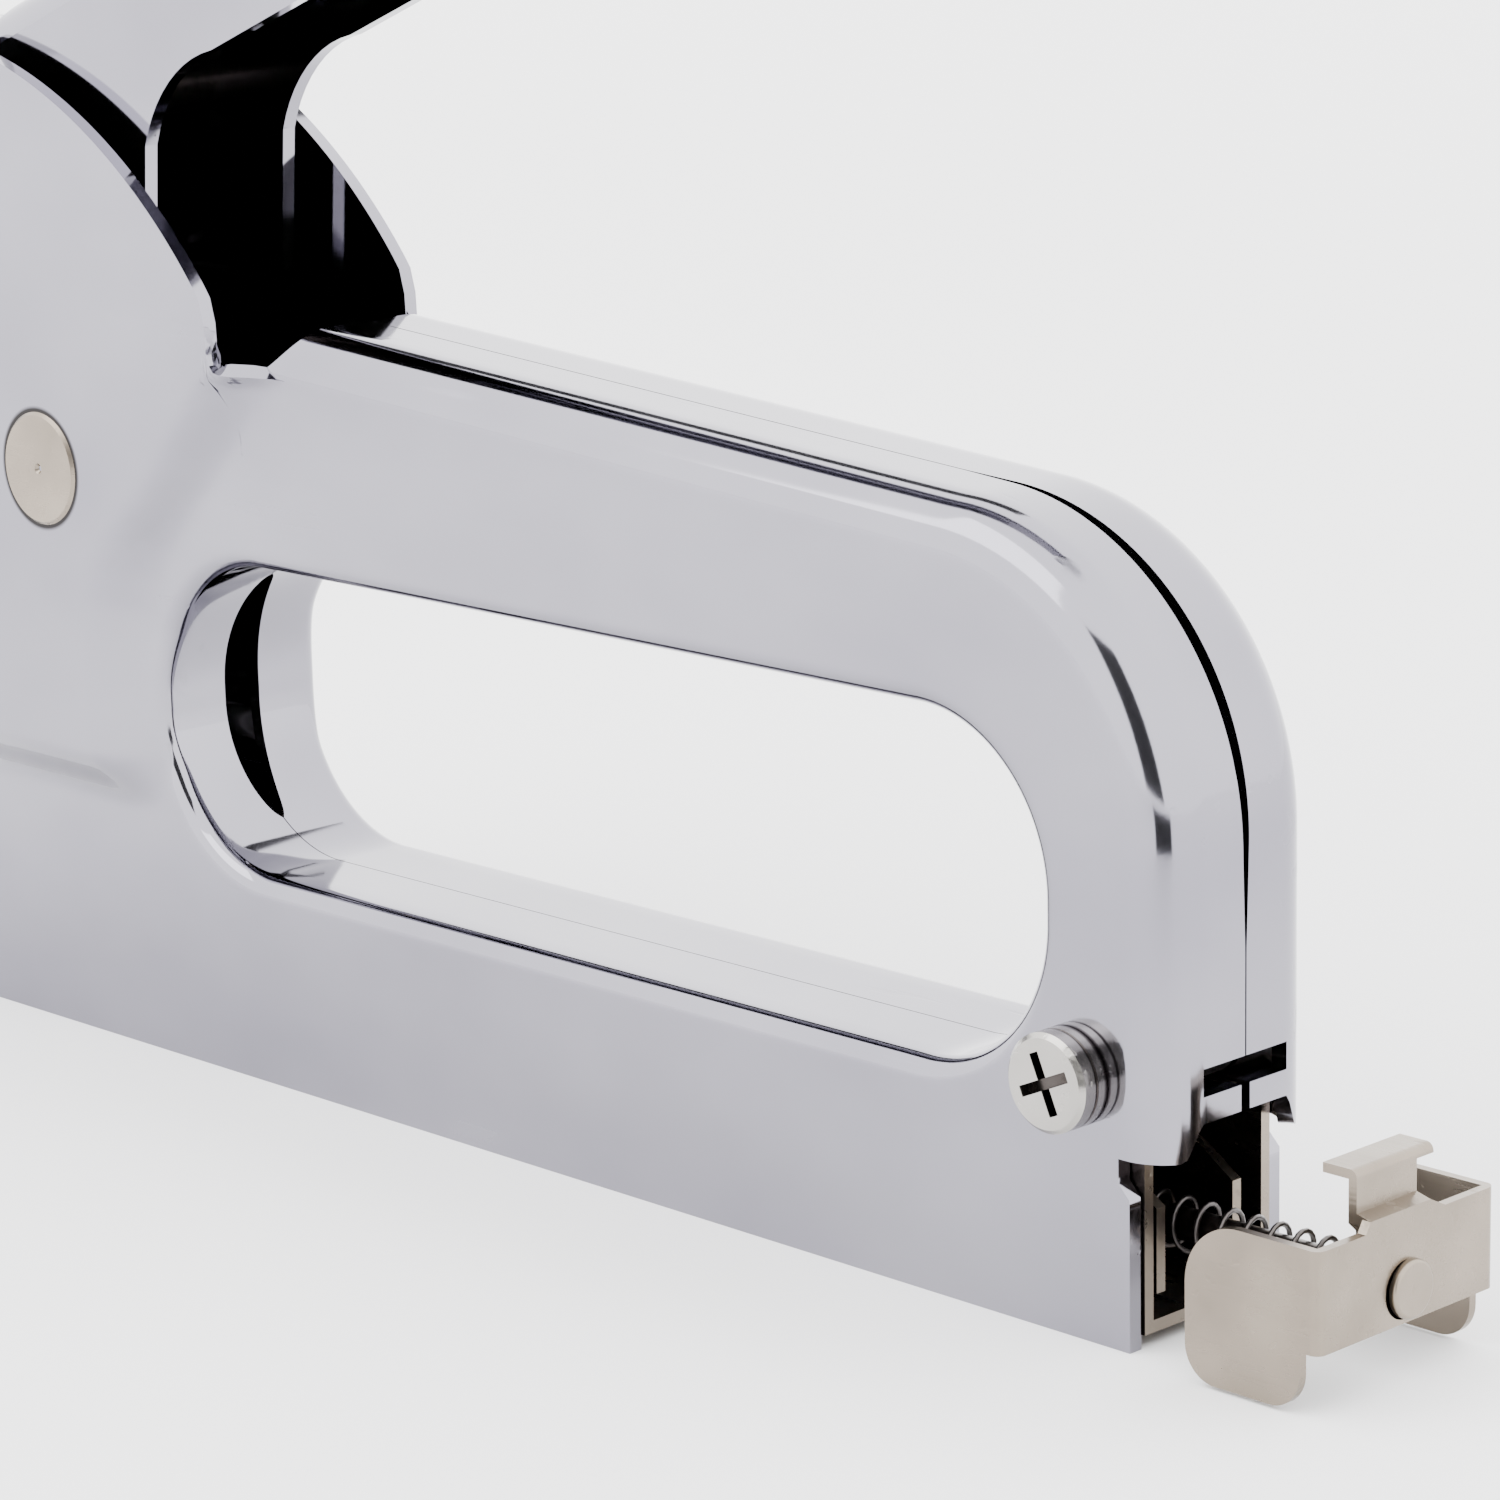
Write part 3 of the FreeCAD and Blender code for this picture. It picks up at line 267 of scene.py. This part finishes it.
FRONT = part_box("housing_left")[0].x / MM
HALF, HEAD_HALF, SHEET, BEND = 8.0, 11.0, 1.2, 4.0  # half widths, sheet thickness, outer bend
DOME_R, CROWN_R, CROWN_TURN = 27.3, 50.0, 40.0     # the dome round the pivot, and the crown over it
HOLE_LOW, HOLE_HIGH, HOLE_R = (REAR - 105.1, 17.3), (REAR - 8.3, 42.9), 12.0
RIM = 1.6
OVERHANG = REAR + 3.6
SLOPE = math.tan(math.radians(4.0))                 # the grip's top falls 4 degrees to the rear
REAR_ARC, ARC_TOP = 22.6, 57.9
SHOULDER, FLANGE_END = REAR - 86.9, REAR - 129.0
NOTCH = np.array([REAR - 91.5, 57.9])


def grip_top(x):
    """The height of the grip's top: a straight line of that slope."""
    return ARC_TOP + (OVERHANG - REAR_ARC - x) * SLOPE


def arc(centre, radius, start, end, count):
    """Points centre + radius * (cos a, sin a), with the angle a running evenly between two angles
    in degrees."""
    angle = np.radians(np.linspace(start, end, count))
    return np.stack([centre[0] + radius * np.cos(angle), centre[1] + radius * np.sin(angle)], 1)


def straight(start, end, step=0.9):
    """Evenly spaced points on the line from start to end."""
    start, end = np.asarray(start, float), np.asarray(end, float)
    count = max(2, int(np.linalg.norm(end - start) / step) + 1)
    return start + (end - start) * np.linspace(0, 1, count)[:, None]


def smooth(value, low, high):
    """0 below low, 1 above high, and 3t^2 - 2t^3 between them."""
    t = np.clip((value - low) / (high - low), 0, 1)
    return t * t * (3 - 2 * t)


def swell(x, z):
    """How far the pressing has swollen from the grip's width to the head's: 0 behind a line that
    falls forward from the notch and then drops, 1 in front of it; and 0 below the head."""
    heights = np.array([0.0, 38.0, 41.0, 43.5, 49.5, 57.9, 61.0, 90.0])
    backs = np.array([107.8, 107.8, 107.0, 105.4, 99.4, 92.4, 86.0, 60.0])
    ahead = (REAR - np.interp(z, heights, backs)) - x
    return smooth(ahead, -2.6, 3.4) * smooth(z, 20.6, 25.6)


def half_width(x, z):
    return HALF + (HEAD_HALF - HALF) * swell(x, z)


def hole_point(points, inset):
    """The nearest point of the grip opening's outline, moved outwards by the inset: the opening
    is a small box grown by its corner radius, so each point is led to the box and back."""
    inner_low = np.array(HOLE_LOW) + HOLE_R
    inner_high = np.array(HOLE_HIGH) - HOLE_R
    core = np.clip(points, inner_low, inner_high)
    away = points - core
    away /= np.linalg.norm(away, axis=1)[:, None]
    return core + away * (HOLE_R + inset), away


crown_way = np.array([math.cos(math.radians(CROWN_TURN)), math.sin(math.radians(CROWN_TURN))])
crown_centre = PIVOT + DOME_R * crown_way - CROWN_R * crown_way
nose_radius = crown_centre[0] - FRONT
nose_centre = np.array([crown_centre[0], crown_centre[1] + CROWN_R - nose_radius])
flange_angle = math.degrees(math.acos((FLANGE_END - crown_centre[0]) / CROWN_R))
rear_centre = np.array([OVERHANG - REAR_ARC, ARC_TOP - REAR_ARC])


def flanged_edges():
    """The two runs of the outline that are bent inwards to the seam: (points, inward directions)
    for the front with the nose and crown, and for the grip's top with its rear."""
    front = straight((FRONT, 0.0), (FRONT, nose_centre[1]))
    nose = arc(nose_centre, nose_radius, 180, 90, 42)
    crown = arc(crown_centre, CROWN_R, 90, flange_angle, 8)
    head = np.concatenate([front, nose[1:], crown[1:]])
    head_in = np.concatenate([np.tile([1.0, 0.0], (len(front), 1)),
                              (nose_centre - nose[1:]) / nose_radius,
                              (crown_centre - crown[1:]) / CROWN_R])
    lean = np.array([math.sin(math.radians(4)), math.cos(math.radians(4))])
    top = straight((SHOULDER, grip_top(SHOULDER)), rear_centre + REAR_ARC * lean)
    bend = arc(rear_centre, REAR_ARC, 86, 0, 46)
    slot_and_tongue = [20.4, 19.7, 19.05, 18.4, 17.8, 17.15, 16.5, 15.8, 15.1, 14.5, 13.9]
    heights = np.concatenate([np.arange(rear_centre[1] - 0.8, 20.5, -0.8), slot_and_tongue])
    back = np.stack([np.full(len(heights), OVERHANG), heights], 1)
    grip = np.concatenate([top, bend[1:], back])
    grip_in = np.concatenate([np.tile(-lean, (len(top), 1)), (rear_centre - bend[1:]) / REAR_ARC,
                              np.tile([-1.0, 0.0], (len(back), 1))])
    return (head, head_in), (grip, grip_in)


def seam_gap(points):
    """Half the opening of the seam: a hairline that widens in a long lens over the rear bend."""
    travel = np.degrees(np.arctan2(points[:, 1] - rear_centre[1], points[:, 0] - rear_centre[0]))
    lens = np.clip(1 - ((travel - 40) / 58) ** 2, 0, 1) * (points[:, 0] > REAR - 26)
    return 0.07 + 0.46 * lens


def quads(rows, columns, keep=None):
    """Corner numbers of a grid's quads, row by row. The keep is a mask over the quads."""
    corner = np.arange((rows - 1) * columns).reshape(rows - 1, columns)[:, :-1]
    found = np.stack([corner, corner + 1, corner + columns + 1, corner + columns], -1)
    return found.reshape(-1, 4) if keep is None else found[keep]


def half_points(xz, y):
    """A grid of side-view places and half widths as a list of points (x, -y, z)."""
    return np.stack([xz[..., 0], -y, xz[..., 1]], -1).reshape(-1, 3)


def shell_surface():
    """The pressed half at -y. The face is a ring between the outline's bend and the opening's
    rim: each point of the outer ring is led straight to its nearest point of the inner ring, and
    lies at y = -half_width(x, z). The bends carry a quarter circle along the outline, and the
    flanges run on to the seam. The latch slot and the gap between the tongues are left out of the
    rear flange, and the tongues' lower edge is an S-curve."""
    head, grip = flanged_edges()
    parts = []
    inner_edges = []
    for number, (edge, inward) in enumerate((head, grip)):
        face = edge + inward * BEND
        wide = half_width(face[:, 0], face[:, 1])
        seam = seam_gap(edge)
        steps = (0.0, 0.45, 1.2, 2.4, 3.3, 4.0) if number else (0.0, 0.5, 1.5, 3.0, 5.0, 7.0)
        lower = np.array(steps)
        reach = np.minimum(lower[:, None] / lower[-1], 1.0) * (wide - BEND)
        reach = np.maximum(reach, seam)
        turn = np.concatenate([[math.degrees(math.asin(0.1))], np.arange(12, 91, 6.5), [90.0]])
        turn = np.radians(turn)[:, None, None]
        rows_xz = [np.repeat(edge[None], len(lower), 0),
                   edge[None] + inward[None] * BEND * (1 - np.cos(turn))]
        rows_y = [reach, (wide - BEND)[None] + BEND * np.sin(turn[..., 0])]
        xz, y = np.concatenate(rows_xz), np.concatenate(rows_y)
        keep = None
        if number:
            climb = np.clip(np.concatenate([np.ones(len(lower)), np.cos(turn[:, 0, 0])]), 0, 1)
            cut = (1 - 0.5 * climb - 0.5 * np.sqrt(1 - (1 - climb) ** 2)) * (SHOULDER - NOTCH[0])
            fade = np.clip(1 - (edge[:, 0] - SHOULDER) / 9.0, 0, 1) * (edge[:, 1] > 50)
            xz[..., 0] -= cut[:, None] * fade[None]
            xz[..., 1] += cut[:, None] * fade[None] * SLOPE
            face = xz[-1]
            mid_y = (y[:-1, :-1] + y[1:, 1:]) / 2
            mid_z = (xz[:-1, :-1, 1] + xz[1:, 1:, 1]) / 2
            rear = xz[:-1, :-1, 0] > OVERHANG - 1.0
            gone = rear & (mid_y < 4.4) & (mid_z > 18.4) & (mid_z < 20.4)
            gone |= rear & (mid_y < 0.45) & (mid_z < 19.0)
            lift = 2.6 * (1 - smooth(y, 4.3, 6.0))
            share = np.clip((18.4 - xz[..., 1]) / 4.5, 0, 1) * (edge[None, :, 0] > OVERHANG - 0.01)
            xz[..., 1] += lift * share
            keep = ~gone
        parts.append((half_points(xz, y), quads(*y.shape, keep)))
        inner_edges.append(face)
    head_face, grip_face = inner_edges
    dome = arc(PIVOT, DOME_R, CROWN_TURN, 36, 4)
    crown_rest = arc(crown_centre, CROWN_R, flange_angle, CROWN_TURN, 44)
    bottom = straight((REAR, 0.0), (FRONT + BEND, 0.0), 1.3)
    foot = grip_face[0]
    neck = foot + np.array([[-2.1, 4.0], [-2.0, 1.7], [-1.7, 0.8], [-1.2, 0.25], [-0.6, 0.05]])
    ring = np.concatenate([
        bottom[:-1], head_face, straight(head_face[-1], crown_rest[0])[1:-1], crown_rest, dome[1:],
        neck, grip_face,
        [[REAR - 1.0, 13.9], [REAR - 1.0, 13.0], [REAR - 1.0, 12.1]],
        straight((REAR, 11.1), (REAR, 0.0), 0.8)])
    hole, away = hole_point(ring, RIM)
    share = np.linspace(0, 1, 46)[:, None, None]
    face_xz = ring[None] * (1 - share) + hole[None] * share
    wide = half_width(face_xz[..., 0], face_xz[..., 1])
    turn = np.radians(np.linspace(90, 0, 9)[1:])[:, None, None]
    rim_xz = hole[None] - away[None] * RIM * np.sin(np.radians(90) - turn)
    rim_y = wide[-1][None] - RIM * (1 - np.sin(turn[..., 0]))
    short = np.clip(1 - ((hole[:, 1] - 30.1) / 11.5) ** 2, 0, 1) * (hole[:, 0] < HOLE_LOW[0] + 8)
    stop = 0.05 + 1.75 * np.sqrt(short)
    run = np.linspace(0, 1, 5)[1:, None]
    flange_y = rim_y[-1][None] * (1 - run) + stop[None] * run
    flange_xz = np.repeat(rim_xz[-1][None], len(run), 0)
    xz, y = np.concatenate([face_xz, rim_xz, flange_xz]), np.concatenate([wide, rim_y, flange_y])
    parts.append((half_points(xz, y), quads(*y.shape)))
    return parts


def build(name, parts, mirror=False, thickness=0.0, bevel=0.0, weld=0.02, caps=()):
    """Joins grids given in millimetres into one smooth mesh in metres."""
    points = np.concatenate([p for p, _ in parts]) * MM
    starts = np.cumsum([0] + [len(p) for p, _ in parts[:-1]])
    faces = np.concatenate([f + start for (_, f), start in zip(parts, starts)])
    if mirror:
        points = points * np.array([1.0, -1.0, 1.0])
    mesh = bpy.data.meshes.new(name)
    mesh.from_pydata(points.tolist(), [], faces.tolist() + [cap.tolist() for cap in caps])
    welded = bmesh.new()
    welded.from_mesh(mesh)
    bmesh.ops.remove_doubles(welded, verts=welded.verts, dist=weld * MM)
    bmesh.ops.recalc_face_normals(welded, faces=welded.faces)
    welded.to_mesh(mesh)
    welded.free()
    mesh.shade_smooth()
    piece = bpy.data.objects.new(name, mesh)
    bpy.context.collection.objects.link(piece)
    if thickness:
        solid = piece.modifiers.new("sheet", "SOLIDIFY")
        solid.thickness, solid.offset = thickness * MM, -1.0
    if bevel:
        edge = piece.modifiers.new("edge", "BEVEL")
        edge.width, edge.segments, edge.limit_method = bevel * MM, 2, "ANGLE"
        edge.angle_limit, edge.harden_normals = math.radians(50), True
    return piece


for name, mirror in (("housing_left", False), ("housing_right", True)):
    pressing = build("pressed_" + name, shell_surface(), mirror, SHEET, 0.12)
    pressing.data.materials.append(chrome_plate)
    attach(pressing, "housing")
    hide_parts(name)

# Springs --------------------------------------------------------------------------------------


def spring_surface(start, along, across, radius, wire_radius, turns, length):
    """A coil of round wire: its middle line is start + along * length * rise + radius * (cos a,
    sin a) in the plane square to it, and a ring of wire_radius follows that line. The rise is
    even, but slows down to nothing over the first and last turn, which lie closed."""
    along, across = np.asarray(along, float), np.asarray(across, float)
    third = np.cross(along, across)
    travel = np.linspace(0, 1, turns * 20 + 1)
    pace = np.clip(np.minimum(travel, 1 - travel) * turns, 0.12, 1)
    rise = np.concatenate([[0], np.cumsum((pace[1:] + pace[:-1]) / 2)])
    rise = wire_radius + rise / rise[-1] * (length - 2 * wire_radius)
    angle = travel * turns * 2 * math.pi
    out = np.cos(angle)[:, None] * across + np.sin(angle)[:, None] * third
    ring = np.linspace(0, 2 * math.pi, 9)
    points = ((np.asarray(start, float) + rise[:, None] * along)[:, None]
              + (radius + wire_radius * np.cos(ring))[None, :, None] * out[:, None]
              + (wire_radius * np.sin(ring))[None, :, None] * along)
    faces = quads(*points.shape[:2])
    ends = [np.arange(8), (len(travel) - 1) * 9 + np.arange(8)[::-1]]
    return points.reshape(-1, 3), faces, ends


SPRINGS = {
    # name: start, along, across, mean radius, wire radius, turns, length, body, joint, keep
    "power_spring": ((REAR - 147.0, 0.0, 48.07), (0, 0, 1), (1, 0, 0), 5.2, 0.85, 5, 22.43,
                     "housing", "plunger_lift", 0.462),
    "pusher_spring": ((-17.3, 0.0, 7.0), (1, 0, 0), (0, 0, 1), 1.85, 0.2, 50, 104.38,
                      "pusher", "follower_slide", 0.444),
}
for name, (*coil_sizes, body, joint, keep) in SPRINGS.items():
    start, along, length = coil_sizes[0], coil_sizes[1], coil_sizes[6]
    points, faces, ends = spring_surface(*coil_sizes)
    coil = build("coiled_" + name, [(points, faces)], weld=0.002, caps=ends)
    coil.data.materials.append(spring_steel)
    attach(coil, body)
    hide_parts(name)
    anchor = (np.asarray(start) + np.asarray(along) * length) * MM
    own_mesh(coil)

# Studio ---------------------------------------------------------------------------------------


def card(name, corners, material, seen=False):
    """A flat four-cornered sheet of the studio. One that isn't seen only shows in the chrome."""
    mesh = bpy.data.meshes.new(name)
    mesh.from_pydata([tuple(corner) for corner in corners], [], [(0, 1, 2, 3)])
    mesh.materials.append(material)
    sheet = bpy.data.objects.new(name, mesh)
    bpy.context.collection.objects.link(sheet)
    sheet.visible_camera = sheet.visible_shadow = seen


floor_finish = Finish("pale_floor", roughness=0.9)
floor_finish.surface(floor_finish.tint(floor_finish.grain(6.0), (0.86, 0.86, 0.87),
                                       (0.88, 0.88, 0.885)))
black_cloth = Finish("black_cloth", roughness=0.95)
black_cloth.surface(black_cloth.tint(black_cloth.grain(40.0), (0.012, 0.012, 0.013),
                                     (0.02, 0.02, 0.02)))

line_middle, line_across = np.array([0.30, 0.47]), np.array([0.82, -0.57]) * 0.055
low, high = line_middle - line_across, line_middle + line_across
card("overhead_strip", [(-1.3, *low), (-0.15, *low), (-0.15, *high), (-1.3, *high)],
     black_cloth.material)


def standing_card(name, middle, half, low, high, lean=0.0):
    """A black card on edge, square to the camera's direction. Its top leans by the given amount."""
    across = np.array([0.71, 0.69]) * half
    left, right = np.array(middle) - across, np.array(middle) + across
    card(name, [(*left, low), (*right, low), (*(right - lean), high), (*(left - lean), high)],
         black_cloth.material)


standing_card("tall_black_card", (0.50, -0.60), 0.20, 0.05, 0.75, 0.12)
standing_card("low_black_card", (0.176, -0.114), 0.042, 0.001, 0.032)
card("floor", [(-3, -3, 0), (3, -3, 0), (3, 3, 0), (-3, 3, 0)], floor_finish.material, seen=True)

world = bpy.data.worlds.new("studio")
world.use_nodes = True
world.node_tree.nodes["Background"].inputs["Color"].default_value = (1.0, 1.0, 1.0, 1.0)
world.node_tree.nodes["Background"].inputs["Strength"].default_value = 4.6
bpy.context.scene.world = world


def soft_light(name, place, target, width, height, power):
    light = bpy.data.lights.new(name, "AREA")
    light.shape, light.size, light.size_y, light.energy = "RECTANGLE", width, height, power
    lamp = bpy.data.objects.new(name, light)
    bpy.context.collection.objects.link(lamp)
    lamp.location = place
    lamp.rotation_euler = (Vector(target) - Vector(place)).to_track_quat("-Z", "Y").to_euler()
    return lamp


soft_light("key_softbox", (-0.5, -1.0, 1.3), (0, 0, 0.05), 1.2, 0.9, 12.0)

# Camera -----------------------------------------------------------------------------------------

azimuth, elevation, roll = (math.radians(angle) for angle in (45.87, 13.63, -1.27))
back = Vector((math.sin(azimuth) * math.cos(elevation), -math.cos(azimuth) * math.cos(elevation),
               math.sin(elevation)))
right = Vector((math.cos(azimuth), math.sin(azimuth), 0.0))
up = back.cross(right)
tilted_right = right * math.cos(roll) + up * math.sin(roll)
tilted_up = up * math.cos(roll) - right * math.sin(roll)
lens = bpy.data.cameras.new("camera")
lens.lens, lens.sensor_width, lens.clip_start, lens.clip_end = 120.0, 36.0, 0.01, 50.0
camera = bpy.data.objects.new("camera", lens)
bpy.context.collection.objects.link(camera)
rows = Matrix((tilted_right, tilted_up, back)).transposed()
camera.matrix_world = Matrix.Translation((0.28649, -0.25247, 0.12226)) @ rows.to_4x4()
bpy.context.scene.camera = camera

bpy.context.view_layer.update()
